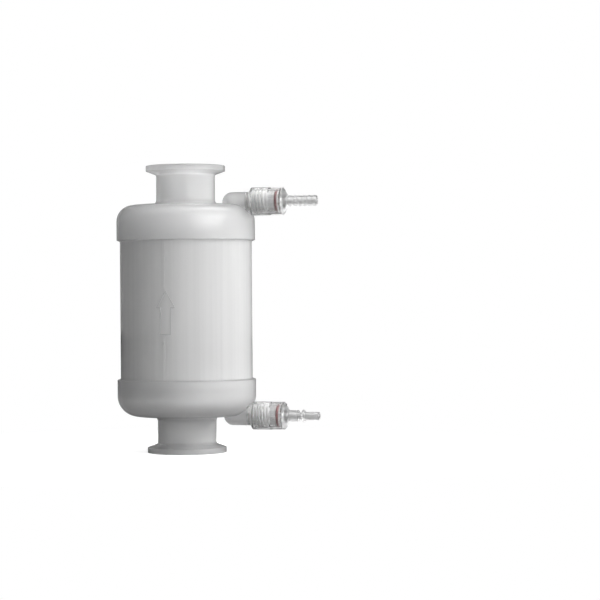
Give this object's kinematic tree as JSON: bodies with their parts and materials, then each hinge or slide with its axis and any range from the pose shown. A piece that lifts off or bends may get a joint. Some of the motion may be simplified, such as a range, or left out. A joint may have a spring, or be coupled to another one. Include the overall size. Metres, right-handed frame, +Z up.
{
  "type": "capsule filter",
  "caption": "Disposable capsule filter with a milky moulded housing, clamp ferrules at both ends, clear screw vent and drain valves and a pleated membrane cartridge inside",
  "frame": {"origin": "centre of the inlet ferrule's face, on which the capsule stands", "axes": "+Z up along the capsule in the direction of flow, +X towards the vent and drain valves"},
  "size_m": [0.1313, 0.0882, 0.1826],
  "materials": {
    "natural_polypropylene": "milky translucent, glossy as moulded",
    "clear_plastic": "clear, glossy as moulded",
    "red_silicone": "smooth satin elastomer",
    "white_polypropylene": "natural white, as moulded",
    "support_fleece": "spunbonded non-woven",
    "membrane_film": "smooth microporous film"
  },
  "bodies": {
    "root": {"shell": "natural_polypropylene", "outlet_cap": "natural_polypropylene", "inlet_cap": "natural_polypropylene", "open_end_cap": "white_polypropylene", "closed_end_cap": "white_polypropylene", "cage": "white_polypropylene", "core": "white_polypropylene", "upstream_support": "support_fleece", "membrane": "membrane_film", "downstream_support": "support_fleece", "vent_body_ring": "red_silicone", "drain_body_ring": "red_silicone"},
    "vent_slider": {"vent_seat_ring": "red_silicone"},
    "vent_valve": {"vent_knob": "clear_plastic"},
    "drain_slider": {"drain_seat_ring": "red_silicone"},
    "drain_valve": {"drain_knob": "clear_plastic"}
  },
  "joints": [
    {"name": "vent_lift", "type": "slide", "parent": "root", "child": "vent_slider", "axis": [1, 0, 0], "range_m": [0, 0.003]},
    {"name": "vent_turn", "type": "hinge", "parent": "vent_slider", "child": "vent_valve", "pos_m": [0.055, 0, 0.1591], "axis": [1, 0, 0], "range_deg": [0, 270]},
    {"name": "drain_lift", "type": "slide", "parent": "root", "child": "drain_slider", "axis": [1, 0, 0], "range_m": [0, 0.003]},
    {"name": "drain_turn", "type": "hinge", "parent": "drain_slider", "child": "drain_valve", "pos_m": [0.055, 0, 0.0237], "axis": [1, 0, 0], "range_deg": [0, 270]}
  ],
  "couplings": [
    {"joint": "vent_lift", "follows": "vent_turn", "m_per_rad": 0.0006366},
    {"joint": "drain_lift", "follows": "drain_turn", "m_per_rad": 0.0006366}
  ]
}
